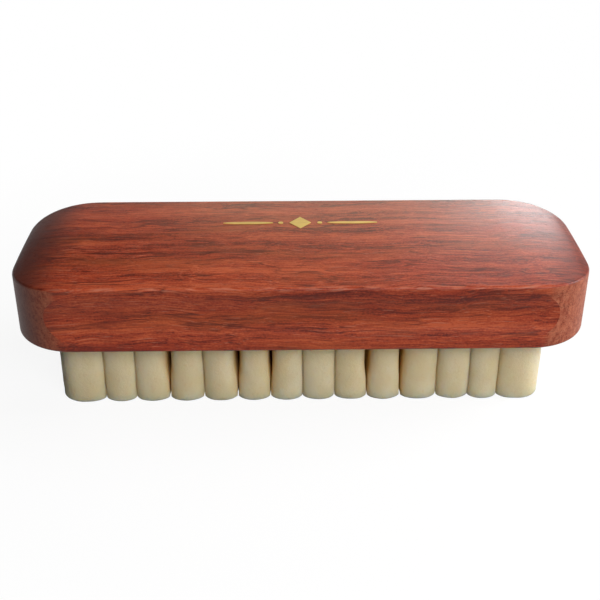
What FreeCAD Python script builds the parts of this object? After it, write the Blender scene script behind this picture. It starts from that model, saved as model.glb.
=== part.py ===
import FreeCAD
import Part
import math
import os

# A suede brush: a moulded hardwood block, and one strip of crepe rubber folded to and fro
# across its width and bonded, edge on, into a pocket routed in its underside.
#
# Millimetres, +Z up, +X along the brush, -Y its front. The origin is the middle of the working
# face, where the folded crepe meets the suede.

# Wooden block
BLOCK_LENGTH = 130.0  # over the two rounded ends
BLOCK_WIDTH = 47.0  # over the two long sides
BLOCK_CORNER = 14.0  # plan radius of the four corners
SIDE_HEIGHT = 15.7  # underside to the arris at the edge of the crowned top
CROWN_RISE = 1.0  # middle of the top above the arris, across the width
END_FALL = 2.2  # how far the top falls away at each end
END_FALL_RUN = 17.0  # the length over which it falls
END_FALL_SHARE = 0.98  # how much of its quarter ellipse the fall takes; at 1 it would end upright
ARRIS_ROUND = 0.6  # sanded edge round the top
RIM_ROUND = 0.6  # sanded edge round the underside

# Finger groove along each long side: a cove with eased shoulders, running out on the rounded corners
GRIP_DEPTH = 1.1
GRIP_LAND = 1.0  # plain side left under the groove
GRIP_LIP = 0.3  # plain side left over it, below the arris
GRIP_EASE = 0.01  # how far outside the side the shoulders start, so that they cross it cleanly

# Crepe strip
STRIP_THICKNESS = 3.1
CREPE_HEIGHT = 17.0  # what stands out of the block
FOLD_COUNT = 14  # folds along the front; the back has one fewer
FOLD_WIDTH = 7.15  # over a front fold
END_FOLD_WIDTH = 10.3  # over the looser fold at each end
FOLD_GAP = 0.45  # between neighbouring front folds
FOLD_REACH = 36.0  # front crests to back crests
FOLD_CORNER = 2.3  # outer radius of a fold's two corners; the crowded rubber is thicker there
END_FOLD_CORNER = 4.0  # the same at the looser end folds

# Pocket and the bond in it
POCKET_DEPTH = 6.0
POCKET_CLEARANCE = 0.25  # crepe to pocket wall, all round
ADHESIVE_THICKNESS = 0.5

# How far the cutting shapes run past what they cut
OVERRUN = 5.0

# Flats shorter than this aren't drawn
SHORTEST_EDGE = 0.001

# Heights
BLOCK_BASE = CREPE_HEIGHT
ARRIS_LEVEL = BLOCK_BASE + SIDE_HEIGHT
BLOCK_TOP = ARRIS_LEVEL + CROWN_RISE
POCKET_FLOOR = BLOCK_BASE + POCKET_DEPTH
STRIP_TOP = POCKET_FLOOR - ADHESIVE_THICKNESS

# Layout of the folds along X
FOLD_WIDTHS = [END_FOLD_WIDTH] + [FOLD_WIDTH] * (FOLD_COUNT - 2) + [END_FOLD_WIDTH]
PACK_LENGTH = sum(FOLD_WIDTHS) + FOLD_GAP * (FOLD_COUNT - 1)
FOLD_CORNERS = [END_FOLD_CORNER] + [FOLD_CORNER] * (FOLD_COUNT - 2) + [END_FOLD_CORNER]
STRIP_END = FOLD_REACH / 2 - END_FOLD_CORNER  # the strip's two ends clear the pocket's round corners


def vector(x, y, z):
    return FreeCAD.Vector(x, y, z)


def line(start, end):
    return Part.LineSegment(start, end).toShape()


def arc(start, through, end):
    return Part.Arc(start, through, end).toShape()


def rounded_plate(length, width, radius, base, thickness):
    """A plate with rounded corners, centred on the Z axis, standing on the level base."""
    plate = Part.makeBox(length, width, thickness, vector(-length / 2, -width / 2, base))
    upright = [edge for edge in plate.Edges if abs(edge.tangentAt(edge.FirstParameter).z) > 0.5]
    return plate.makeFillet(radius, upright)


def radius_over(chord, rise):
    """Radius of the arc that rises by rise over the middle of a chord."""
    return (chord**2 / 4 + rise**2) / (2 * rise)


def end_fall(side):
    """The fall of the top towards one end, as part of an ellipse that leaves the flat smoothly."""
    half_axis_x = END_FALL_RUN / END_FALL_SHARE
    half_axis_z = END_FALL / (1 - math.sqrt(1 - END_FALL_SHARE**2))
    centre = vector(side * (BLOCK_LENGTH / 2 - END_FALL_RUN), 0, BLOCK_TOP - half_axis_z)
    ellipse = Part.Ellipse(centre + vector(half_axis_x, 0, 0), centre + vector(0, 0, half_axis_z), centre)
    crest = ellipse.parameter(centre + vector(0, 0, half_axis_z))
    turn = side * math.asin(END_FALL_SHARE)
    low, high = sorted((crest - turn, crest))
    return Part.ArcOfEllipse(ellipse, low, high).toShape()


def crowned_top():
    """A solid under the top surface: the crown of the width, carried along the fall of the length."""
    half_length = BLOCK_LENGTH / 2
    flat_end = half_length - END_FALL_RUN
    end_level = BLOCK_TOP - END_FALL
    flat = line(vector(-flat_end, 0, BLOCK_TOP), vector(flat_end, 0, BLOCK_TOP))
    path = Part.Wire([end_fall(-1), flat, end_fall(1)])
    crown_radius = radius_over(BLOCK_WIDTH, CROWN_RISE)
    half_width = BLOCK_WIDTH / 2 + OVERRUN
    edge_level = end_level - crown_radius + math.sqrt(crown_radius**2 - half_width**2)
    low = BLOCK_BASE - OVERRUN
    corners = [vector(-half_length, y, z) for y, z in (
        (-half_width, edge_level), (half_width, edge_level), (half_width, low), (-half_width, low))]
    section = Part.Wire([
        arc(corners[0], vector(-half_length, 0, end_level), corners[1]),
        line(corners[1], corners[2]),
        line(corners[2], corners[3]),
        line(corners[3], corners[0]),
    ])
    sweep = Part.BRepOffsetAPI.MakePipeShell(path)
    sweep.setTrihedronMode(vector(0, 0, 0), vector(1, 0, 0))
    sweep.add(section, False, False)
    sweep.build()
    sweep.makeSolid()
    return sweep.shape()


def touches(edge, faces):
    """True if the middle of an edge lies on one of the faces."""
    middle = edge.valueAt((edge.FirstParameter + edge.LastParameter) / 2)
    return Part.Compound(faces).distToShape(Part.Vertex(middle))[0] < 1e-4


def finger_groove(side):
    """What is cut from one long side; side is -1 for the front and 1 for the back."""
    low = BLOCK_BASE + GRIP_LAND
    high = ARRIS_LEVEL - GRIP_LIP
    quarter = (high - low) / 4
    rise = (GRIP_DEPTH + GRIP_EASE) / 2
    radius = radius_over(2 * quarter, rise)
    lead = radius - math.sqrt(radius**2 - quarter**2 / 4)

    def point(depth, z):
        return vector(-BLOCK_LENGTH / 2 - OVERRUN, side * (BLOCK_WIDTH / 2 + GRIP_EASE - depth), z)

    lower_shoulder = arc(point(0, low), point(lead, low + quarter / 2), point(rise, low + quarter))
    cove = arc(point(rise, low + quarter), point(2 * rise, (low + high) / 2), point(rise, high - quarter))
    upper_shoulder = arc(point(rise, high - quarter), point(lead, high - quarter / 2), point(0, high))
    outline = Part.Wire([
        lower_shoulder,
        cove,
        upper_shoulder,
        line(point(0, high), point(-OVERRUN, high)),
        line(point(-OVERRUN, high), point(-OVERRUN, low)),
        line(point(-OVERRUN, low), point(0, low)),
    ])
    return Part.Face(outline).extrude(vector(BLOCK_LENGTH + 2 * OVERRUN, 0, 0))


def wood_block():
    """The block as it is made: plan outline, crowned top, eased edges, finger grooves, pocket."""
    tall = BLOCK_TOP - BLOCK_BASE + OVERRUN
    block = rounded_plate(BLOCK_LENGTH, BLOCK_WIDTH, BLOCK_CORNER, BLOCK_BASE, tall)
    block = block.common(crowned_top())
    half_way_up = BLOCK_BASE + SIDE_HEIGHT / 2
    walls = [face for face in block.Faces if face.BoundBox.ZMin < half_way_up < face.BoundBox.ZMax]
    arris = [edge for edge in block.Edges if edge.BoundBox.ZMin > half_way_up and touches(edge, walls)]
    block = block.makeFillet(ARRIS_ROUND, arris)
    rim = [edge for edge in block.Edges if edge.BoundBox.ZMax < half_way_up]
    block = block.makeFillet(RIM_ROUND, rim)
    for side in (-1, 1):
        block = block.cut(finger_groove(side))
    pocket = rounded_plate(
        PACK_LENGTH + 2 * POCKET_CLEARANCE, FOLD_REACH + 2 * POCKET_CLEARANCE,
        END_FOLD_CORNER + POCKET_CLEARANCE, BLOCK_BASE - OVERRUN, POCKET_DEPTH + OVERRUN)
    return block.cut(pocket)


def bend(start_x, end_x, crest, corner, side):
    """A bend of the strip in plan, with two round corners and what is left flat between them.

    crest is where it reaches along Y; side is -1 for a front fold and 1 for a back fold.
    """
    turn = crest - side * corner
    lead = corner * (1 - math.sqrt(0.5))
    enter = vector(start_x + corner, crest, 0)
    leave = vector(end_x - corner, crest, 0)
    edges = [arc(vector(start_x, turn, 0), vector(start_x + lead, crest - side * lead, 0), enter)]
    if leave.x - enter.x > SHORTEST_EDGE:
        edges.append(line(enter, leave))
    edges.append(arc(edges[-1].Vertexes[-1].Point, vector(end_x - lead, crest - side * lead, 0),
                     vector(end_x, turn, 0)))
    return edges


def strip_side(inset):
    """One face of the folded strip as edges in plan, from the left end to the right.

    inset is 0 for the face outside the front folds, and the strip's thickness for the other one.
    """
    edges = []
    left = -PACK_LENGTH / 2
    point = vector(left + inset, STRIP_END, 0)
    front = -FOLD_REACH / 2 + inset
    back = FOLD_REACH / 2 - STRIP_THICKNESS + inset
    for number, width in enumerate(FOLD_WIDTHS):
        corner = width / 2 - inset if inset else FOLD_CORNERS[number]
        turn = bend(left + inset, left + width - inset, front, corner, -1)
        edges += [line(point, turn[0].Vertexes[0].Point)] + turn
        point = turn[-1].Vertexes[-1].Point
        left += width + FOLD_GAP
        if number < FOLD_COUNT - 1:
            corner = FOLD_CORNER if inset else FOLD_GAP / 2
            turn = bend(point.x, left + inset, back, corner, 1)
            edges += [line(point, turn[0].Vertexes[0].Point)] + turn
            point = turn[-1].Vertexes[-1].Point
    edges.append(line(point, vector(point.x, STRIP_END, 0)))
    return edges


def crepe_strip():
    """The strip on edge, from the working face up to the adhesive."""
    outer = strip_side(0)
    inner = strip_side(STRIP_THICKNESS)
    ends = [line(outer[i].Vertexes[i].Point, inner[i].Vertexes[i].Point) for i in (0, -1)]
    outline = Part.Wire(outer + [ends[1]] + inner[::-1] + [ends[0]])
    return Part.Face(outline).extrude(vector(0, 0, STRIP_TOP))


def adhesive_bed():
    """The cured bed of adhesive between the pocket's floor and the upper edge of the strip."""
    return rounded_plate(PACK_LENGTH, FOLD_REACH, END_FOLD_CORNER, STRIP_TOP, ADHESIVE_THICKNESS)


def main():
    os.makedirs("parts", exist_ok=True)
    pieces = {
        "wood_block": wood_block(),
        "crepe_strip": crepe_strip(),
        "adhesive_bed": adhesive_bed(),
    }
    for name, shape in pieces.items():
        shape.exportStep(f"parts/{name}.step")
        print(name, "valid", shape.isValid(), "solids", len(shape.Solids), "volume", round(shape.Volume, 1))
    strip_length = pieces["crepe_strip"].Volume / (STRIP_THICKNESS * STRIP_TOP)
    least_gap = min(FOLD_GAP, min(FOLD_WIDTHS) - 2 * STRIP_THICKNESS)
    print("strip length", round(strip_length, 1), "least gap to itself", round(least_gap, 2))


main()
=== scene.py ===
"""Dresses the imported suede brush: its wood, folded crepe, adhesive, foil rule and a plain stage."""

import math

import bpy
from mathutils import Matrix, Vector


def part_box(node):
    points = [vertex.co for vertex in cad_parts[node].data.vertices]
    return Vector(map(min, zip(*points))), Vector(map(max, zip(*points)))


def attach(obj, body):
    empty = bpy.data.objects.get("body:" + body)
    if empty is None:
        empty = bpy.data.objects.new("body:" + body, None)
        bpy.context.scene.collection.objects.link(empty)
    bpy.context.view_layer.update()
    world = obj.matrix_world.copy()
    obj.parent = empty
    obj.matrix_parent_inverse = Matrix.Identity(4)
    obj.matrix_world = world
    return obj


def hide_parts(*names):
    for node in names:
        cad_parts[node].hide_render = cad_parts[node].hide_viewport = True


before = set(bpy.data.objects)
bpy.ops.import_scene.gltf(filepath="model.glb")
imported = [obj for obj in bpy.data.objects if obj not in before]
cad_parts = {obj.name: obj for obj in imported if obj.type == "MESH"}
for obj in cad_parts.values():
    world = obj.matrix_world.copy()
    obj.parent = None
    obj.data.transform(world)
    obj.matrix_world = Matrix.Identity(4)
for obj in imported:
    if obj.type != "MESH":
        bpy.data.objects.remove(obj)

bl_info = {
    "name": "Crepe Suede Brush",
    "version": (1, 0, 0),
    "blender": (4, 5, 0),
    "location": "3D View > Sidebar > Brush",
    "description": "Dresses a suede brush with grained wood, folded crepe and a foil rule",
    "category": "Object",
}

MM = 0.001
BODY = "root"
WHITE = (1.0, 1.0, 1.0)

# Distance within which two places are taken as one, and the least flat left between two bevels
NEAR = 0.01 * MM
SLIVER = 0.03 * MM

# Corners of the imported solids
BLOCK_LOW, BLOCK_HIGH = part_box("wood_block")
STRIP_LOW, STRIP_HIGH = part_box("crepe_strip")

# Front folds from left to right, in millimetres from crease to crease
FOLD_WIDTHS = (10.45, 7.1, 7.8, 7.85, 7.95, 7.75, 7.25, 7.5, 7.5, 7.8, 8.45, 7.55, 6.75, 10.3)

# Creases that gape, by the number of the fold to the left, and their widest opening in millimetres
GAPES = {3: 0.9, 5: 1.2, 6: 0.8, 9: 1.0, 10: 0.6}

# Height at which those creases gape fully, as a multiple of the height that is pressed shut
GAPE_FULL = 2.5

# Slot left between two folds that touch
CONTACT = 0.04 * MM

# Faces of the strip that turn less than this are made one
FLAT_ANGLE = math.radians(1.0)

# Segments of the corners outside and inside the folds, and of the strip's lower edges
OUTER_SEGMENTS = 8
INNER_SEGMENTS = 4
EDGE_SEGMENTS = 4

# Rows in which the strip is cut, up its height and along its reach
HEIGHT_ROWS = 16
REACH_ROWS = 12

# Lumps that move the folds along and across the brush, and size and depth of the lumps in their skin
SIDE_LUMP = 9.0 * MM
REACH_LUMP = 7.0 * MM
SKIN_LUMP = 2.6 * MM
SKIN_DEPTH = 0.12 * MM

# Painted shade in the creases, in ochre: where it fades at front and back, at the floor and at the ends, in
# millimetres, and strength
CREASE_SHADE_IN = (3.2, 0.4)
CREASE_SHADE_UP = (0.2, 2.0)
CREASE_SHADE_FADE = 0.5
CREASE_SHADE_STRENGTH = 0.8

# Where the crepe's pale clouds and ochre pebbles begin and are full, and the strength of the pebbles
CLOUD_EDGE = (0.35, 0.68)
PEBBLE_EDGE = (0.55, 0.75)
PEBBLE_STRENGTH = 0.25

# Where the adhesive's light flow and the foil's rubbed and dull parts begin and are full, and how strong
FLOW_EDGE = (0.3, 0.7)
FOIL_RUB_EDGE = (0.45, 0.75)
FOIL_RUB_STRENGTH = 0.5
DULL_EDGE = (0.6, 0.8)
DULL_STRENGTH = 0.3

# Lengths of the lumps in the crepe, the adhesive and the foil along X, Y and Z, in millimetres
CLOUD_LENGTHS = (5.0, 5.0, 8.0)
PEBBLE_LENGTHS = (0.7, 0.7, 0.6)
FLOW_LENGTHS = (3.0, 3.0, 3.0)
FOIL_RUB_LENGTHS = (2.5, 0.3, 0.3)

# Sway of the grain: its scale per millimetre, and its reach in millimetres
SWAY_SCALE = 0.03
SWAY_REACH = 7.0

# Layers of the swaying grain: lengths of the lumps along X, Y and Z in millimetres, and noise settings
GRAIN = {
    "bands": ((60.0, 4.5, 4.0), {"detail": 3.0}),
    "patches": ((45.0, 9.0, 9.0), {"detail": 3.0, "shift": 4.9}),
    "clusters": ((28.0, 3.6, 3.0), {"detail": 3.0, "shift": 6.7}),
    "flecks": ((9.0, 0.26, 0.22), {"detail": 2.0, "shift": 8.3}),
    "fibres": ((5.0, 0.26, 0.2), {"detail": 3.0, "roughness": 0.6, "shift": 5.3}),
    # Noise of the pale flecks along the top edges, partly wear and partly a painted highlight
    "arris_wear_and_highlight": ((5.0, 0.5, 0.4), {"detail": 3.0, "shift": 3.1}),
    "pores": ((2.4, 0.24, 0.2), {"detail": 1.0, "shift": 1.9}),
}

# Layers whose lengths are multiples of a streak's length, width and width again
STREAK_GRAIN = {
    "figure": ((0.7, 3.0, 2.4), {"detail": 6.0, "roughness": 0.7, "shift": 3.7}),
    "streaks": ((1.0, 1.0, 0.8), {"detail": 4.0, "roughness": 0.65, "shift": 7.3}),
    "rings": ((1.5, 4.4, 3.6), {"detail": 2.5, "shift": 9.1}),
}

# Layers that don't sway
STILL_GRAIN = {
    "speckle": ((0.5, 0.4, 0.35), {"detail": 2.0, "shift": 4.1}),
    "mottle": ((1.0, 1.0, 1.4), {"detail": 5.0, "roughness": 0.75, "shift": 2.3}),
}

# Share of each layer in the tone of the wood, and what is taken off their sum
TONE_SHARES = {"bands": 0.9, "figure": 0.8, "streaks": 0.7, "fibres": 0.9, "speckle": 0.5}
TONE_OFFSET = 1.4

# Colours laid over the dark wood: setting, layer, where on the layer each begins and is full, and strength
TONES = (
    ("heart", "tone", 0.26, 0.52, 1.0),
    ("light", "tone", 0.5, 0.78, 1.0),
    ("amber", "patches", 0.52, 0.75, 0.5),
    ("red", "patches", 0.48, 0.28, 0.5),
    ("fleck", "flecks", 0.6, 0.72, 0.45),
)

# Level of the rings at which their dark lines run
RING_LEVEL = 0.5

# Where the finer marks of the wood begin and end, on the scale of what they follow
LINE_EDGE = (0.003, 0.042)
CLUSTER_EDGE = (0.42, 0.62)
UPWARD_EDGE = (0.3, 0.6)
ENDWISE_EDGE = (0.004, 0.1)
MOTTLE_EDGE = (0.3, 0.66)
ARRIS_EDGE = (0.48, 0.66)
PORE_EDGE = (0.6, 0.7)

# Strength of those marks
LINE_FAINT = 0.15
LINE_CLUSTERED = 0.58
# Strength of the painted shade at both ends of the block
PAINTED_END_SHADE_STRENGTH = 0.6
OPEN_END_STRENGTH = 0.75
# Strength of the painted shade at the left end of the block
PAINTED_LEFT_SHADE_STRENGTH = 0.85
# Strength of the pale flecks along the top edges, partly wear and partly a painted highlight
ARRIS_STRENGTH = 0.5
PORE_STRENGTH = 0.35
END_PORE_STRENGTH = 0.3

# Distances in millimetres from the ends, sides and top of the block at which marks begin and are full:
# painted shade at both ends, painted shade at the left end, and pale flecks along the top edges, partly wear
# and partly a painted highlight
PAINTED_END_SHADE_REACH = (13.0, 0.0)
PAINTED_LEFT_SHADE_REACH = (14.0, 2.0)
ARRIS_SIDE = (1.1, 0.3)
ARRIS_TOP = (2.2, 1.2)

# Colours of the adhesive and of the rubbed foil
ADHESIVE_DARK = (0.3, 0.15, 0.04)
ADHESIVE_LIGHT = (0.5, 0.31, 0.1)
FOIL_RUBBED = (0.56, 0.3, 0.1)

# Foil rule: its thickness, the lozenge's width and the dots' distance as shares of the lozenge's height
FOIL_THICKNESS = 0.1 * MM
LOZENGE_WIDTH = 0.8
DOT_DISTANCE = 0.72

# Corners in the outline of each shape of the rule
LOZENGE_CORNERS = 4
ARM_CORNERS = 48
DOT_CORNERS = 24

# Floor: its side, the height of its walls, and how far it lies below the brush
FLOOR_SIZE = 8.0
WALL_HEIGHT = 0.7
FLOOR_DROP = 0.1 * MM

# Distances in millimetres from the middle, and in from the folds, between which the floor changes
FLOOR_FADE = (60.0, 180.0)
FOOT_INSET = (9.0, 4.0)

# Lamps, each named as the setting for its power: place, width and height, and colour
LAMPS = {
    "window": ((0.33, 0.91, 0.24), (0.2, 0.25), WHITE),
    "pane": ((0.08, 0.97, 0.25), (0.4, 0.3), (1.0, 0.88, 0.6)),
    "key": ((0.2, -0.47, 0.32), (0.35, 0.35), WHITE),
    "overhead": ((0.65, 0.1, 0.4), (0.4, 0.4), WHITE),
}

# Points that the lamps and the camera face, and fixed values of the camera
LAMP_TARGET = Vector((0.0, 0.0, 20.0 * MM))
CAMERA_TARGET = Vector((-0.2 * MM, 0.0, 16.85 * MM))
SENSOR_WIDTH = 36.0
CLIP_START = 1.0 * MM


# Settings

class CrepeSettings(bpy.types.PropertyGroup):
    """Sizes and colours of the folded crepe strip"""

    thickness: bpy.props.FloatProperty(
        name="Thickness", description="Thickness of the strip",
        default=3.0 * MM, min=1.0 * MM, max=3.2 * MM, unit="LENGTH")
    edge_round: bpy.props.FloatProperty(
        name="Edge round", description="Softness of the strip's lower edges",
        default=0.45 * MM, min=0.1 * MM, max=1.4 * MM, unit="LENGTH")
    flatness: bpy.props.FloatProperty(
        name="Flatness", description="How far the round of the folds is pressed flat, from 1, not at all",
        default=0.74, min=0.2, max=1.0, subtype="FACTOR")
    swell: bpy.props.FloatProperty(
        name="Swell", description="How far folds that touch swell against each other at the floor",
        default=0.05, min=0.0, max=0.3, subtype="FACTOR")
    press: bpy.props.FloatProperty(
        name="Press", description="How far folds whose crease doesn't gape press together above the floor",
        default=0.1, min=0.0, max=0.3, subtype="FACTOR")
    web_height: bpy.props.FloatProperty(
        name="Web height", description="Height below which the creases are pressed shut",
        default=3.6 * MM, min=1.0 * MM, max=15.0 * MM, unit="LENGTH")
    gape_depth: bpy.props.FloatProperty(
        name="Gape depth", description="Depth of the creases that gape",
        default=12.0 * MM, min=3.0 * MM, max=20.0 * MM, unit="LENGTH")
    fold_corner: bpy.props.FloatProperty(
        name="Fold corner", description="Largest round of a front fold, before it is pressed flat",
        default=4.0 * MM, min=3.0 * MM, max=4.2 * MM, unit="LENGTH")
    squareness: bpy.props.FloatProperty(
        name="Squareness", description="Shape of the folds in plan, from round at 0.5 to square at 1",
        default=0.5, min=0.5, max=0.9)
    end_corner: bpy.props.FloatProperty(
        name="End fold corner", description="Size of the corners of the two looser end folds",
        default=4.9 * MM, min=3.0 * MM, max=5.0 * MM, unit="LENGTH")
    end_draw: bpy.props.FloatProperty(
        name="End fold draw", description="How far the corners of the end folds are drawn out backwards",
        default=1.1, min=1.0, max=2.0)
    cut_back: bpy.props.FloatProperty(
        name="Cut back", description="How far the strip's two cut ends stop short of the back folds",
        default=4.0 * MM, min=3.0 * MM, max=10.0 * MM, unit="LENGTH")
    unevenness: bpy.props.FloatProperty(
        name="Unevenness", description="How far the folds wander from their places",
        default=0.5 * MM, min=0.0, max=1.0 * MM, unit="LENGTH")
    cream: bpy.props.FloatVectorProperty(
        name="Cream", description="Colour of the crepe", subtype="COLOR",
        default=(0.72, 0.6, 0.37), min=0.0, max=1.0)
    pale: bpy.props.FloatVectorProperty(
        name="Pale", description="Colour of the paler clouds in the crepe", subtype="COLOR",
        default=(0.76, 0.66, 0.45), min=0.0, max=1.0)
    # Ochre of the pebbles, and also the colour of the painted shade in the creases
    ochre_and_crease_shade: bpy.props.FloatVectorProperty(
        name="Ochre", description="Colour of the creases between the folds", subtype="COLOR",
        default=(0.64, 0.39, 0.12), min=0.0, max=1.0)


class WoodSettings(bpy.types.PropertyGroup):
    """Colours and grain of the wooden block"""

    heart: bpy.props.FloatVectorProperty(
        name="Heart", description="Main colour of the wood", subtype="COLOR",
        default=(0.335, 0.046, 0.018), min=0.0, max=1.0)
    dark: bpy.props.FloatVectorProperty(
        name="Dark", description="Colour of the dark grain", subtype="COLOR",
        default=(0.11, 0.013, 0.007), min=0.0, max=1.0)
    light: bpy.props.FloatVectorProperty(
        name="Light", description="Colour of the light grain", subtype="COLOR",
        default=(0.5, 0.095, 0.036), min=0.0, max=1.0)
    amber: bpy.props.FloatVectorProperty(
        name="Amber", description="Colour of the more orange patches", subtype="COLOR",
        default=(0.45, 0.098, 0.031), min=0.0, max=1.0)
    red: bpy.props.FloatVectorProperty(
        name="Red", description="Colour of the deeper red patches", subtype="COLOR",
        default=(0.36, 0.034, 0.014), min=0.0, max=1.0)
    # Also laid along the top edges, partly as wear and partly as a painted highlight
    fleck: bpy.props.FloatVectorProperty(
        name="Fleck", description="Colour of the fine pale flecks", subtype="COLOR",
        default=(0.56, 0.21, 0.13), min=0.0, max=1.0)
    line: bpy.props.FloatVectorProperty(
        name="Line", description="Colour of the fine dark lines and pores", subtype="COLOR",
        default=(0.06, 0.009, 0.006), min=0.0, max=1.0)
    end_grain: bpy.props.FloatVectorProperty(
        name="End grain", description="Colour of the open end grain", subtype="COLOR",
        default=(0.5, 0.17, 0.09), min=0.0, max=1.0)
    end_dark: bpy.props.FloatVectorProperty(
        name="End grain dark", description="Colour of the darker spots in the end grain", subtype="COLOR",
        default=(0.21, 0.038, 0.018), min=0.0, max=1.0)
    # Painted shade: dark colour laid over the left end of the block, where the shade falls
    left_shade_colour: bpy.props.FloatVectorProperty(
        name="Stain", description="Colour of the darker stained end", subtype="COLOR",
        default=(0.075, 0.018, 0.011), min=0.0, max=1.0)
    streak_length: bpy.props.FloatProperty(
        name="Streak length", description="Length of the streaks along the block",
        default=30.0 * MM, min=5.0 * MM, max=80.0 * MM, unit="LENGTH")
    streak_width: bpy.props.FloatProperty(
        name="Streak width", description="Width of the streaks across the grain",
        default=0.5 * MM, min=0.3 * MM, max=5.0 * MM, unit="LENGTH")


class FoilSettings(bpy.types.PropertyGroup):
    """Sizes and colour of the plain rule stamped in foil on the top"""

    length: bpy.props.FloatProperty(
        name="Length", description="Length of the rule over both tapered arms",
        default=37.0 * MM, min=10.0 * MM, max=80.0 * MM, unit="LENGTH")
    width: bpy.props.FloatProperty(
        name="Width", description="Width of an arm where it is widest",
        default=1.2 * MM, min=0.3 * MM, max=3.0 * MM, unit="LENGTH")
    lozenge: bpy.props.FloatProperty(
        name="Lozenge", description="Height of the middle lozenge",
        default=6.5 * MM, min=1.0 * MM, max=12.0 * MM, unit="LENGTH")
    place: bpy.props.FloatProperty(
        name="Place", description="Distance of the rule behind the middle of the top",
        default=8.0 * MM, min=-18.0 * MM, max=18.0 * MM, unit="LENGTH")
    gold: bpy.props.FloatVectorProperty(
        name="Gold", description="Colour of the foil", subtype="COLOR",
        default=(0.8, 0.58, 0.16), min=0.0, max=1.0)


class StageSettings(bpy.types.PropertyGroup):
    """Floor, light and camera"""

    floor: bpy.props.FloatVectorProperty(
        name="Floor", description="Colour of the floor", subtype="COLOR",
        default=(0.08, 0.08, 0.08), min=0.0, max=1.0)
    whiteness: bpy.props.FloatProperty(
        name="Whiteness", description="How much of the floor's look is plain white",
        default=0.9, min=0.0, max=1.0, subtype="FACTOR")
    ambient: bpy.props.FloatProperty(
        name="Ambient", description="Strength of the even light from all round",
        default=0.03, min=0.0, max=2.0)
    window: bpy.props.FloatProperty(
        name="Window", description="Power of the low light behind and to the right",
        default=2.1, min=0.0, max=50.0, unit="POWER")
    pane: bpy.props.FloatProperty(
        name="Pane", description="Power of the weaker light beside the window, straight behind",
        default=0.8, min=0.0, max=50.0, unit="POWER")
    key: bpy.props.FloatProperty(
        name="Key", description="Power of the soft light in front and to the right",
        default=2.9, min=0.0, max=50.0, unit="POWER")
    overhead: bpy.props.FloatProperty(
        name="Overhead", description="Power of the soft light above and to the right",
        default=5.8, min=0.0, max=50.0, unit="POWER")
    camera_distance: bpy.props.FloatProperty(
        name="Camera distance", description="Distance of the camera from the point it looks at",
        default=250.0 * MM, min=0.1, max=2.0, unit="LENGTH")
    camera_height: bpy.props.FloatProperty(
        name="Camera elevation", description="Angle of the camera above the floor",
        default=math.radians(29.08), min=0.0, max=1.5, unit="ROTATION")
    camera_turn: bpy.props.FloatProperty(
        name="Camera turn", description="Angle of the camera to the right of the front",
        default=math.radians(-1.0), min=-3.2, max=3.2, unit="ROTATION")
    camera_lens: bpy.props.FloatProperty(
        name="Focal length", description="Focal length of the camera in millimetres",
        default=62.19, min=10.0, max=300.0)


# Materials

class Value:
    """A number on its way through a material; arithmetic on it adds Math nodes."""

    def __init__(self, finish, socket):
        self.finish = finish
        self.socket = socket

    def calculate(self, operation, first, second):
        """Adds a Math node for two numbers."""
        return Value(self.finish, self.finish.add(
            "ShaderNodeMath", {"operation": operation}, {0: first, 1: second}))

    def __add__(self, other):
        return self.calculate("ADD", self, other)

    def __radd__(self, other):
        return self.calculate("ADD", other, self)

    def __sub__(self, other):
        return self.calculate("SUBTRACT", self, other)

    def __rsub__(self, other):
        return self.calculate("SUBTRACT", other, self)

    def __mul__(self, other):
        return self.calculate("MULTIPLY", self, other)

    def __rmul__(self, other):
        return self.calculate("MULTIPLY", other, self)


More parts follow.
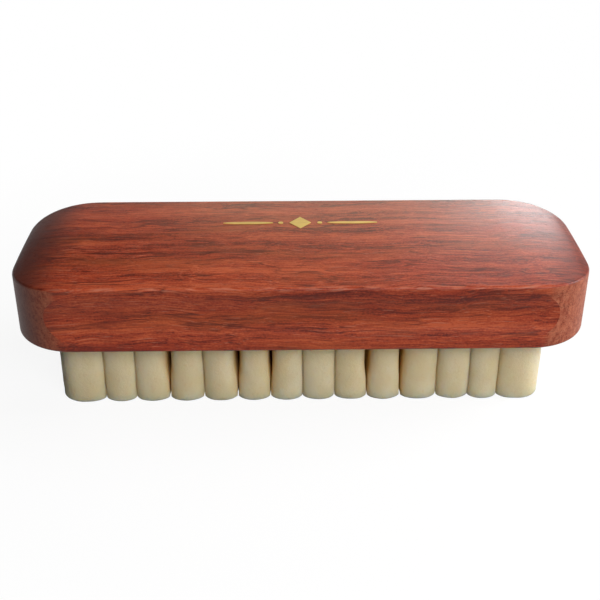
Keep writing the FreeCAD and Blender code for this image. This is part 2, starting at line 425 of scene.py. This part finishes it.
class Finish:
    """A node material in the making."""

    def __init__(self, name):
        self.material = bpy.data.materials.new(name)
        self.material.use_nodes = True
        self.tree = self.material.node_tree
        self.shader = self.tree.nodes["Principled BSDF"]

    def add(self, kind, settings=None, sockets=None, output=0):
        """Adds a node with its settings, then a value or a link for each named socket; gives an output."""
        node = self.tree.nodes.new(kind)
        for name, setting in (settings or {}).items():
            setattr(node, name, setting)
        for name, value in (sockets or {}).items():
            self.feed(node.inputs[name], value)
        return node.outputs[output]

    def feed(self, socket, value):
        """Links a value to a socket, or sets a constant on it."""
        if isinstance(value, Value):
            value = value.socket
        if isinstance(value, bpy.types.NodeSocket):
            self.tree.links.new(value, socket)
        else:
            socket.default_value = value

    def surface(self, **sockets):
        """Feeds the sockets of the surface shader, with underscores for the spaces in their names."""
        for name, value in sockets.items():
            self.feed(self.shader.inputs[name.replace("_", " ")], value)

    def millimetres(self):
        """The place on the object in millimetres."""
        place = self.add("ShaderNodeTexCoord", output="Object")
        return self.add("ShaderNodeVectorMath", {"operation": "SCALE"}, {"Vector": place, "Scale": 1 / MM})

    def noise(self, place, lengths, detail=2.0, roughness=0.5, shift=0.0):
        """Soft noise whose lumps have the given lengths in millimetres along X, Y and Z."""
        shares = [1 / length for length in lengths]
        stretched = self.add("ShaderNodeVectorMath", {"operation": "MULTIPLY_ADD"}, {
            0: place, 1: shares, 2: (shift, shift, shift)})
        return Value(self, self.add("ShaderNodeTexNoise", None, {
            "Vector": stretched, "Scale": 1.0, "Detail": detail, "Roughness": roughness}, "Fac"))

    def step(self, value, low, high):
        """Rises smoothly from 0 at low to 1 at high."""
        return Value(self, self.add("ShaderNodeMapRange", {"interpolation_type": "SMOOTHSTEP"}, {
            "Value": value, "From Min": low, "From Max": high}))

    def approach(self, value, high, distances):
        """Rises smoothly from 0 to 1 between two distances short of a high value."""
        begins, full = distances
        return self.step(value, high - begins, high - full)

    def absolute(self, value):
        """A number without its sign."""
        return Value(self, self.add("ShaderNodeMath", {"operation": "ABSOLUTE"}, {0: value}))

    def parts(self, vector):
        """The X, Y and Z of a vector."""
        split = self.add("ShaderNodeSeparateXYZ", None, {0: vector}).node
        return [Value(self, output) for output in split.outputs]

    def mix(self, share, first, second):
        """Mixes two colours."""
        return self.add("ShaderNodeMix", {"data_type": "RGBA"}, {
            0: share, 6: opaque(first), 7: opaque(second)}, 2)

    def bump(self, height, distance, strength):
        """A bump normal from a height."""
        return self.add("ShaderNodeBump", None, {
            "Strength": strength, "Distance": distance, "Height": height})


def opaque(colour):
    """A constant colour with its alpha; a link is left as it is."""
    if isinstance(colour, (bpy.types.NodeSocket, Value)):
        return colour
    return (colour[0], colour[1], colour[2], 1.0)


def grain_layers(finish, wood, straight):
    """The layers of the grain by name, and the tone of the wood that some of them add up to."""
    sway = finish.add("ShaderNodeTexNoise", None, {
        "Vector": straight, "Scale": SWAY_SCALE, "Detail": 3.0, "Roughness": 0.5}, "Color")
    drift = finish.add("ShaderNodeVectorMath", {"operation": "MULTIPLY_ADD"}, {
        0: sway, 1: (0.0, SWAY_REACH, SWAY_REACH), 2: (0.0, -SWAY_REACH / 2, -SWAY_REACH / 2)})
    place = finish.add("ShaderNodeVectorMath", {"operation": "ADD"}, {0: straight, 1: drift})
    streak = (wood.streak_length / MM, wood.streak_width / MM, wood.streak_width / MM)

    layers = {}
    for name, (lengths, settings) in GRAIN.items():
        layers[name] = finish.noise(place, lengths, **settings)
    for name, (shares, settings) in STREAK_GRAIN.items():
        lengths = [share * size for share, size in zip(shares, streak)]
        layers[name] = finish.noise(place, lengths, **settings)
    for name, (lengths, settings) in STILL_GRAIN.items():
        layers[name] = finish.noise(straight, lengths, **settings)
    layers["tone"] = sum(layers[name] * share for name, share in TONE_SHARES.items()) - TONE_OFFSET
    return layers


def wood_finish(wood):
    """Red-brown hardwood: bands, dark lines, fibres and pores along the block, open end grain, painted shade
    at both ends and deeper at the left end, pale flecks along the top edges, partly wear and partly a painted
    highlight.
    """
    finish = Finish("waxed_hardwood")
    straight = finish.millimetres()
    layers = grain_layers(finish, wood, straight)
    colour = wood.dark
    for name, layer, begins, full, strength in TONES:
        share = finish.step(layers[layer], begins, full) * strength
        colour = finish.mix(share, colour, getattr(wood, name))
    lines = 1.0 - finish.step(finish.absolute(layers["rings"] - RING_LEVEL), *LINE_EDGE)
    clustered = LINE_FAINT + finish.step(layers["clusters"], *CLUSTER_EDGE) * LINE_CLUSTERED
    colour = finish.mix(lines * clustered, colour, wood.line)

    x, y, z = finish.parts(straight)
    end_x, side_y, top_z = (length / MM for length in BLOCK_HIGH)
    # Painted shade: both ends of the block darken towards the dark grain colour, where the light falls off
    painted_end_shade = finish.approach(finish.absolute(x), end_x, PAINTED_END_SHADE_REACH)
    colour = finish.mix(painted_end_shade * PAINTED_END_SHADE_STRENGTH, colour, wood.dark)

    facing = finish.parts(finish.add("ShaderNodeTexCoord", output="Normal"))
    wall = 1.0 - finish.step(facing[2], *UPWARD_EDGE)
    open_end = finish.step(facing[0] * facing[0], *ENDWISE_EDGE) * wall
    end_colour = finish.mix(finish.step(layers["mottle"], *MOTTLE_EDGE), wood.end_dark, wood.end_grain)
    colour = finish.mix(open_end * OPEN_END_STRENGTH, colour, end_colour)
    # Painted shade: the left end of the block darkens towards its end, where the shade falls
    painted_left_shade = finish.approach(0.0 - x, end_x, PAINTED_LEFT_SHADE_REACH)
    colour = finish.mix(painted_left_shade * PAINTED_LEFT_SHADE_STRENGTH, colour, wood.left_shade_colour)
    # Pale flecks along the top edges of the long sides: partly wear, partly a painted highlight
    arris = finish.approach(finish.absolute(y), side_y, ARRIS_SIDE) * finish.approach(z, top_z, ARRIS_TOP)
    arris_wear_and_highlight = arris * finish.step(layers["arris_wear_and_highlight"], *ARRIS_EDGE)
    colour = finish.mix(arris_wear_and_highlight * ARRIS_STRENGTH, colour, wood.fleck)
    pore = finish.step(layers["pores"], *PORE_EDGE)
    colour = finish.mix(pore * (PORE_STRENGTH + open_end * END_PORE_STRENGTH), colour, wood.line)

    fibres = layers["fibres"]
    height = fibres * 0.4 + layers["streaks"] * 0.4 - pore * 0.6
    finish.surface(
        Base_Color=colour,
        Roughness=0.34 + fibres * 0.1 + pore * 0.15 + open_end * 0.12,
        Specular_IOR_Level=0.22,
        Normal=finish.bump(height, distance=0.1 * MM, strength=0.3))
    return finish.material


def crepe_finish(crepe):
    """Cream crepe rubber: soft clouds of colour, painted ochre shade in the creases and light that sinks in.
    """
    finish = Finish("cream_crepe")
    place = finish.millimetres()
    x, y, z = finish.parts(place)
    low_x = STRIP_LOW.x / MM + crepe.thickness / MM
    high_x = STRIP_LOW.x / MM + sum(FOLD_WIDTHS) - crepe.thickness / MM
    # Painted shade: the creases behind the fronts of the folds turn ochre where the shade falls, fading at
    # the floor and at the ends
    crease = 1.0 - finish.approach(finish.absolute(y), STRIP_HIGH.y / MM, CREASE_SHADE_IN)
    crease = crease * finish.step(x, low_x - CREASE_SHADE_FADE, low_x)
    crease = crease * (1.0 - finish.step(x, high_x, high_x + CREASE_SHADE_FADE))
    crease = crease * finish.step(z, *CREASE_SHADE_UP)
    clouds = finish.noise(place, CLOUD_LENGTHS, detail=3.0)
    pebbles = finish.noise(place, PEBBLE_LENGTHS, detail=3.0, roughness=0.65, shift=6.1)
    colour = finish.mix(finish.step(clouds, *CLOUD_EDGE), crepe.cream, crepe.pale)
    colour = finish.mix(finish.step(pebbles, *PEBBLE_EDGE) * PEBBLE_STRENGTH, colour, crepe.ochre_and_crease_shade)
    colour = finish.mix(crease * CREASE_SHADE_STRENGTH, colour, crepe.ochre_and_crease_shade)
    finish.surface(
        Base_Color=colour,
        Roughness=0.58 + pebbles * 0.16,
        Specular_IOR_Level=0.25,
        Subsurface_Weight=1.0,
        Subsurface_Radius=(1.0, 0.75, 0.45),
        Subsurface_Scale=4.5 * MM,
        Normal=finish.bump(pebbles, distance=0.25 * MM, strength=0.7))
    return finish.material


def adhesive_finish():
    """Amber adhesive, cured with a slightly uneven skin."""
    finish = Finish("amber_adhesive")
    place = finish.millimetres()
    flow = finish.noise(place, FLOW_LENGTHS, detail=3.0)
    colour = finish.mix(finish.step(flow, *FLOW_EDGE), ADHESIVE_DARK, ADHESIVE_LIGHT)
    finish.surface(
        Base_Color=colour,
        Roughness=0.3 + flow * 0.25,
        Normal=finish.bump(flow, distance=0.3 * MM, strength=0.5))
    return finish.material


def foil_finish(foil):
    """Gold foil, a little rubbed, over the grain of the wood."""
    finish = Finish("gold_foil")
    place = finish.millimetres()
    rub = finish.noise(place, FOIL_RUB_LENGTHS, detail=3.0)
    colour = finish.mix(finish.step(rub, *FOIL_RUB_EDGE) * FOIL_RUB_STRENGTH, foil.gold, FOIL_RUBBED)
    finish.surface(
        Base_Color=colour,
        Metallic=0.45 - finish.step(rub, *DULL_EDGE) * DULL_STRENGTH,
        Roughness=0.34 + rub * 0.2,
        Normal=finish.bump(rub, distance=0.04 * MM, strength=0.4))
    return finish.material


def floor_finish(stage):
    """Pale floor that looks white, keeps the shadow and stays dark under the brush."""
    finish = Finish("pale_floor")
    place = finish.millimetres()
    seen, mirrored, through = (
        Value(finish, finish.add("ShaderNodeLightPath", output=f"Is {kind} Ray"))
        for kind in ("Camera", "Glossy", "Transmission"))
    shown = seen + mirrored + through
    finish.surface(
        Base_Color=finish.mix(shown, stage.floor, WHITE), Roughness=0.9, Specular_IOR_Level=0.0)
    glow = finish.add("ShaderNodeEmission", None, {"Color": opaque(WHITE), "Strength": 1.0})
    distance = finish.add("ShaderNodeVectorMath", {"operation": "LENGTH"}, {0: place}, "Value")
    whiteness = stage.whiteness + finish.step(distance, *FLOOR_FADE) * (1.0 - stage.whiteness)
    surface = finish.add("ShaderNodeMixShader", None, {
        0: shown * whiteness * footprint_clear(finish, place), 1: finish.shader.outputs[0], 2: glow})
    finish.feed(finish.tree.nodes["Material Output"].inputs["Surface"], surface)
    return finish.material


def footprint_clear(finish, place):
    """Falls to 0 where the folds of the brush stand on the floor."""
    x, y, _ = finish.parts(place)
    inside_x = 1.0 - finish.approach(finish.absolute(x), STRIP_HIGH.x / MM, FOOT_INSET)
    inside_y = 1.0 - finish.approach(finish.absolute(y), STRIP_HIGH.y / MM, FOOT_INSET)
    return 1.0 - inside_x * inside_y


# Modelling

def start_clean():
    """Leaves nothing selected, so that an operator acts only on what comes next."""
    if bpy.context.object and bpy.context.object.mode != "OBJECT":
        bpy.ops.object.mode_set(mode="OBJECT")
    bpy.ops.object.select_all(action="DESELECT")


def select_vertices(test):
    """Selects the vertices of the mesh in edit mode whose place passes a test."""
    bpy.ops.mesh.select_mode(type="VERT")
    bpy.ops.mesh.select_all(action="DESELECT")
    bpy.ops.object.mode_set(mode="OBJECT")
    for vertex in bpy.context.object.data.vertices:
        vertex.select = test(vertex.co)
    bpy.ops.object.mode_set(mode="EDIT")


def push(x, y, z):
    """Extrudes what is selected and moves it."""
    bpy.ops.mesh.extrude_region_move(TRANSFORM_OT_translate={"value": (x, y, z)})


def apply_lumps(piece, name, direction, strength, lump, group):
    """Moves a mesh along an axis or its normals by soft lumps of the given size."""
    texture = bpy.data.textures.new(name, "CLOUDS")
    texture.noise_scale = lump
    texture.noise_depth = 1
    modifier = piece.modifiers.new(name, "DISPLACE")
    modifier.direction = direction
    modifier.strength = strength
    modifier.vertex_group = group
    modifier.texture = texture
    modifier.texture_coords = "LOCAL"
    bpy.ops.object.modifier_apply(modifier=name)


def finish_piece(piece, name, material):
    """Names a finished piece, gives it its finish and lets it ride on the brush."""
    piece.name = name
    piece.data.name = name
    piece.data.materials.clear()
    piece.data.materials.append(material)
    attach(piece, BODY)


def dress_node(name, material):
    """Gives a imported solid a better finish."""
    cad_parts[name].material_slots[0].material = material


def select_plan(low_x, high_x, low_y, high_y):
    """Selects the upright faces of the mesh in edit mode that stand in a box of the plan."""
    select_vertices(lambda place: low_x - NEAR < place.x < high_x + NEAR
                    and low_y - NEAR < place.y < high_y + NEAR)
    bpy.ops.mesh.select_mode(type="FACE")


def bevel_uprights(places, size, squareness=0.5, segments=OUTER_SEGMENTS):
    """Rounds the upright edges that stand at some places of the plan."""
    bpy.ops.mesh.select_all(action="DESELECT")
    bpy.ops.mesh.select_mode(type="EDGE")
    bpy.ops.object.mode_set(mode="OBJECT")
    mesh = bpy.context.object.data
    for edge in mesh.edges:
        foot, head = (mesh.vertices[number].co for number in edge.vertices)
        upright = (foot.xy - head.xy).length < NEAR
        edge.select = upright and any((foot.xy - Vector(place)).length < NEAR for place in places)
    bpy.ops.object.mode_set(mode="EDIT")
    bpy.ops.mesh.bevel(offset=size, segments=segments, profile=squareness, affect="EDGES")


def add_strip_end(left, thickness, back):
    """The cut left end of the strip, standing on edge."""
    top = STRIP_HIGH.z
    start_clean()
    bpy.ops.mesh.primitive_plane_add(
        size=1.0, location=(left + thickness / 2, back, top / 2), rotation=(math.pi / 2, 0.0, 0.0))
    bpy.ops.object.mode_set(mode="EDIT")
    bpy.ops.mesh.select_all(action="SELECT")
    bpy.ops.transform.resize(value=(thickness, 1.0, top))
    bpy.ops.object.mode_set(mode="OBJECT")
    bpy.ops.object.transform_apply(location=True, rotation=True, scale=True)
    bpy.ops.object.mode_set(mode="EDIT")
    bpy.ops.mesh.select_all(action="SELECT")
    return bpy.context.object


def fold_square(thickness, front, back, ends, folds):
    """The strip with square folds, to and fro across the brush.

    folds holds, for each front fold, its left side, its right side and the left side of the next.
    """
    strip = add_strip_end(folds[0][0], thickness, ends)
    push(0.0, front + thickness - ends, 0.0)
    for left, right, following in folds:
        push(0.0, -thickness, 0.0)
        select_plan(left + thickness, left + thickness, front, front + thickness)
        push(right - left - 2 * thickness, 0.0, 0.0)
        push(thickness, 0.0, 0.0)
        select_plan(right - thickness, right, front + thickness, front + thickness)
        if following is None:
            push(0.0, ends - front - thickness, 0.0)
            break
        push(0.0, back - front - 2 * thickness, 0.0)
        push(0.0, thickness, 0.0)
        select_plan(right, right, back - thickness, back)
        push(following - right, 0.0, 0.0)
        push(thickness, 0.0, 0.0)
        select_plan(following, following + thickness, back - thickness, back - thickness)
        push(0.0, front - back + 2 * thickness, 0.0)
    bpy.ops.mesh.select_all(action="SELECT")
    bpy.ops.mesh.dissolve_limited(angle_limit=FLAT_ANGLE)
    return strip


def round_folds(crepe, front, back, folds):
    """Rounds the square folds: soft corners outside, narrow slots inside."""
    thickness = crepe.thickness
    first, last = folds[0][0], folds[-1][1]
    for left, right, following in folds:
        for x in (left, right):
            loose = x in (first, last)
            corner = crepe.end_corner if loose else min((right - left) / 2, crepe.fold_corner) - SLIVER
            bevel_uprights([(x, front)], corner, crepe.squareness)
        slot = front + thickness
        inside = (right - left) / 2 - thickness - SLIVER
        slot_corners = [(left + thickness, slot), (right - thickness, slot)]
        bevel_uprights(slot_corners, inside, segments=INNER_SEGMENTS)
        if following is None:
            break
        low_x, high_x = right - thickness, following + thickness
        bevel_uprights([(low_x, back), (high_x, back)], thickness - SLIVER, crepe.squareness)


def flatten_folds(crepe, front, folds):
    """Presses the rounded front folds flat, and draws out the two end corners."""
    corner = crepe.end_corner
    low_x, high_x = folds[0][0] + corner, folds[-1][1] - corner
    select_vertices(lambda place: place.y < front + crepe.thickness - NEAR
                    and low_x - NEAR < place.x < high_x + NEAR)
    bpy.ops.transform.resize(value=(1.0, crepe.flatness, 1.0), center_override=(0.0, front, 0.0))
    select_vertices(lambda place: place.y < front + corner + NEAR
                    and not low_x - NEAR < place.x < high_x + NEAR)
    bpy.ops.transform.resize(value=(1.0, crepe.end_draw, 1.0), center_override=(0.0, front, 0.0))


def rise(value, low, high):
    """Rises smoothly from 0 at low to 1 at high."""
    share = min(1.0, max(0.0, (value - low) / (high - low)))
    return share * share * (3.0 - 2.0 * share)


def press_folds(strip, crepe, folds):
    """Presses neighbouring front folds together, and lets some creases gape above the floor."""
    thickness = crepe.thickness
    round_depth = thickness * crepe.flatness
    for number, fold in enumerate(folds):
        left, right = fold[:2]
        middle = (left + right) / 2
        half = (right - left) / 2
        for vertex in strip.data.vertices:
            place = vertex.co
            depth = place.y - STRIP_LOW.y
            if not left - NEAR < place.x < right + NEAR or depth > crepe.gape_depth:
                continue
            side = 1 if place.x > middle else -1
            crease = number + (side + 1) // 2
            if crease in (0, len(folds)):
                continue
            out = abs(place.x - middle)
            if depth < round_depth + NEAR:
                raised = rise(place.z, 0.0, crepe.web_height)
                press = 0.0 if crease in GAPES else crepe.press
                swell = crepe.swell * (1.0 - raised) + press * raised
                out = min(half, out * (1.0 + swell))
            gape = GAPES.get(crease, 0.0) * MM / 2
            gape = gape * rise(place.z, crepe.web_height, crepe.web_height * GAPE_FULL)
            gape = gape * (1.0 - rise(depth, round_depth, crepe.gape_depth))
            out = out - gape * rise(out, half - thickness, half)
            place.x = middle + side * out


def soften_lower_edges(size):
    """Rounds the strip's lower edges."""
    select_vertices(lambda place: place.z < NEAR)
    bpy.ops.mesh.select_mode(type="FACE")
    bpy.ops.mesh.region_to_loop()
    bpy.ops.mesh.bevel(offset=size, segments=EDGE_SEGMENTS, affect="EDGES", clamp_overlap=False)


def cut_rows(low, high, rows, across):
    """Cuts the mesh in even rows across an axis, so that it can bend."""
    for row in range(1, rows):
        place = across * (low + (high - low) * row / rows)
        bpy.ops.mesh.select_all(action="SELECT")
        bpy.ops.mesh.bisect(plane_co=place, plane_no=across)


def fold_strip(crepe):
    """The strip of crepe as it stands in its pocket, with soft uneven folds."""
    front = STRIP_LOW.y
    back = STRIP_HIGH.y
    folds = []
    left = STRIP_LOW.x + SLIVER
    for width in FOLD_WIDTHS:
        right = left + width * MM - CONTACT
        following = right + CONTACT if len(folds) < len(FOLD_WIDTHS) - 1 else None
        folds.append((left, right, following))
        left = following
    strip = fold_square(crepe.thickness, front, back, back - crepe.cut_back, folds)
    round_folds(crepe, front, back, folds)
    flatten_folds(crepe, front, folds)
    soften_lower_edges(crepe.edge_round)
    cut_rows(crepe.edge_round, STRIP_HIGH.z, HEIGHT_ROWS, Vector((0.0, 0.0, 1.0)))
    cut_rows(front, back, REACH_ROWS, Vector((0.0, 1.0, 0.0)))
    bpy.ops.object.mode_set(mode="OBJECT")
    press_folds(strip, crepe, folds)
    return strip


def add_foil_shape(corners, across, up, x, y):
    """A flat shape of the foil: a regular outline, drawn out to its length and height."""
    bpy.ops.mesh.primitive_circle_add(
        vertices=corners, radius=0.5, fill_type="NGON", location=(x, y, BLOCK_HIGH.z))
    bpy.ops.object.mode_set(mode="EDIT")
    bpy.ops.mesh.select_all(action="SELECT")
    bpy.ops.transform.resize(value=(across, up, 1.0))
    bpy.ops.object.mode_set(mode="OBJECT")
    return bpy.context.object


def add_area_light(name, place, size, power, colour):
    """A soft lamp that faces the brush."""
    bpy.ops.object.light_add(type="AREA", location=place)
    lamp = bpy.context.object
    lamp.name = name
    lamp.data.shape = "RECTANGLE"
    lamp.data.size, lamp.data.size_y = size
    lamp.data.energy = power
    lamp.data.color = colour
    lamp.rotation_euler = (LAMP_TARGET - Vector(place)).to_track_quat("-Z", "Y").to_euler()


# Steps

class BRUSH_OT_dress_wood(bpy.types.Operator):
    """Gives the wooden block its grain"""

    bl_idname = "brush.dress_wood"
    bl_label = "Dress Wood"

    def execute(self, context):
        dress_node("wood_block", wood_finish(context.scene.brush_wood))
        return {"FINISHED"}


class BRUSH_OT_fold_crepe(bpy.types.Operator):
    """Folds the crepe strip in place of its plain solid"""

    bl_idname = "brush.fold_crepe"
    bl_label = "Fold Crepe"

    def execute(self, context):
        crepe = context.scene.brush_crepe
        strip = fold_strip(crepe)
        bpy.ops.object.mode_set(mode="EDIT")
        bpy.ops.mesh.select_all(action="SELECT")
        bpy.ops.mesh.normals_make_consistent(inside=False)
        bpy.ops.object.mode_set(mode="OBJECT")
        free = strip.vertex_groups.new(name="free_length")
        for vertex in strip.data.vertices:
            share = max(0.0, 1.0 - vertex.co.z / BLOCK_LOW.z)
            free.add([vertex.index], share, "REPLACE")
        apply_lumps(strip, "wander", "X", crepe.unevenness, SIDE_LUMP, "free_length")
        apply_lumps(strip, "reach", "Y", crepe.unevenness, REACH_LUMP, "free_length")
        apply_lumps(strip, "lumps", "NORMAL", SKIN_DEPTH, SKIN_LUMP, "free_length")
        bpy.ops.object.shade_smooth()
        finish_piece(strip, "folded_crepe", crepe_finish(crepe))
        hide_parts("crepe_strip")
        return {"FINISHED"}


class BRUSH_OT_bed_adhesive(bpy.types.Operator):
    """Gives the bed of adhesive its amber skin"""

    bl_idname = "brush.bed_adhesive"
    bl_label = "Bed Adhesive"

    def execute(self, context):
        dress_node("adhesive_bed", adhesive_finish())
        return {"FINISHED"}


class BRUSH_OT_stamp_foil(bpy.types.Operator):
    """Stamps a plain swelled rule with a lozenge in gold foil on the top"""

    bl_idname = "brush.stamp_foil"
    bl_label = "Stamp Foil"

    def execute(self, context):
        foil = context.scene.brush_foil
        start_clean()
        lozenge_width = foil.lozenge * LOZENGE_WIDTH
        shapes = [add_foil_shape(LOZENGE_CORNERS, lozenge_width, foil.lozenge, 0.0, foil.place)]
        arm = foil.length / 2 - foil.lozenge
        for side in (-1, 1):
            middle = side * (foil.lozenge + arm / 2)
            shapes.append(add_foil_shape(ARM_CORNERS, arm, foil.width, middle, foil.place))
            dot = side * foil.lozenge * DOT_DISTANCE
            shapes.append(add_foil_shape(DOT_CORNERS, foil.width, foil.width, dot, foil.place))
        start_clean()
        for shape in shapes:
            shape.select_set(True)
        bpy.context.view_layer.objects.active = shapes[0]
        bpy.ops.object.join()
        bpy.ops.object.transform_apply(location=True, rotation=True, scale=True)
        bpy.ops.object.mode_set(mode="EDIT")
        bpy.ops.mesh.select_all(action="SELECT")
        push(0.0, 0.0, -FOIL_THICKNESS)
        bpy.ops.mesh.select_all(action="SELECT")
        bpy.ops.mesh.normals_make_consistent(inside=False)
        bpy.ops.object.mode_set(mode="OBJECT")
        finish_piece(shapes[0], "foil_rule", foil_finish(foil))
        return {"FINISHED"}


class BRUSH_OT_set_stage(bpy.types.Operator):
    """Lays the floor and sets the light and the camera"""

    bl_idname = "brush.set_stage"
    bl_label = "Set Stage"

    def execute(self, context):
        stage = context.scene.brush_stage
        start_clean()
        bpy.ops.mesh.primitive_plane_add(size=FLOOR_SIZE)
        floor = bpy.context.object
        floor.name = "floor"
        bpy.ops.object.mode_set(mode="EDIT")
        bpy.ops.mesh.select_all(action="SELECT")
        bpy.ops.mesh.extrude_edges_move(TRANSFORM_OT_translate={"value": (0.0, 0.0, WALL_HEIGHT)})
        bpy.ops.mesh.select_all(action="SELECT")
        bpy.ops.transform.translate(value=(0.0, 0.0, -FLOOR_DROP))
        bpy.ops.object.mode_set(mode="OBJECT")
        floor.data.materials.append(floor_finish(stage))

        for name, (place, size, colour) in LAMPS.items():
            add_area_light(name, place, size, getattr(stage, name), colour)
        world = bpy.data.worlds.new("studio")
        context.scene.world = world
        world.use_nodes = True
        background = world.node_tree.nodes["Background"]
        background.inputs["Color"].default_value = opaque(WHITE)
        background.inputs["Strength"].default_value = stage.ambient

        turn = stage.camera_turn
        tilt = stage.camera_height
        back = Vector((math.sin(turn) * math.cos(tilt), -math.cos(turn) * math.cos(tilt), math.sin(tilt)))
        bpy.ops.object.camera_add(location=CAMERA_TARGET + back * stage.camera_distance)
        camera = bpy.context.object
        camera.name = "camera"
        camera.rotation_euler = (-back).to_track_quat("-Z", "Y").to_euler()
        camera.data.lens = stage.camera_lens
        camera.data.sensor_width = SENSOR_WIDTH
        camera.data.clip_start = CLIP_START
        context.scene.camera = camera
        context.scene.view_settings.view_transform = "Standard"
        return {"FINISHED"}


# Panel and run

class BRUSH_PT_panel(bpy.types.Panel):
    """Lists the steps that dress the brush, with their sizes and colours"""

    bl_idname = "BRUSH_PT_panel"
    bl_label = "Suede Brush"
    bl_space_type = "VIEW_3D"
    bl_region_type = "UI"
    bl_category = "Brush"

    def draw(self, context):
        for step, settings in STEPS:
            box = self.layout.box()
            box.operator(step)
            if settings:
                group = getattr(context.scene, settings)
                for name in group.__annotations__:
                    box.prop(group, name)


# Each step with the settings it reads, in order
STEPS = (
    ("brush.dress_wood", "brush_wood"),
    ("brush.bed_adhesive", None),
    ("brush.fold_crepe", "brush_crepe"),
    ("brush.stamp_foil", "brush_foil"),
    ("brush.set_stage", "brush_stage"),
)

SETTINGS = {
    "brush_wood": WoodSettings,
    "brush_crepe": CrepeSettings,
    "brush_foil": FoilSettings,
    "brush_stage": StageSettings,
}

CLASSES = (
    *SETTINGS.values(),
    BRUSH_OT_dress_wood,
    BRUSH_OT_bed_adhesive,
    BRUSH_OT_fold_crepe,
    BRUSH_OT_stamp_foil,
    BRUSH_OT_set_stage,
    BRUSH_PT_panel,
)


def register():
    """Adds the classes, and the settings to the scene."""
    for kind in CLASSES:
        bpy.utils.register_class(kind)
    for name, kind in SETTINGS.items():
        setattr(bpy.types.Scene, name, bpy.props.PointerProperty(type=kind))


def unregister():
    """Takes the settings and the classes away again."""
    for name in SETTINGS:
        delattr(bpy.types.Scene, name)
    for kind in reversed(CLASSES):
        bpy.utils.unregister_class(kind)


def main():
    """Dresses the brush step by step."""
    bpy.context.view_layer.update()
    register()
    bpy.ops.brush.dress_wood()
    bpy.ops.brush.bed_adhesive()
    bpy.ops.brush.fold_crepe()
    bpy.ops.brush.stamp_foil()
    bpy.ops.brush.set_stage()


if __name__ == "__main__":
    main()
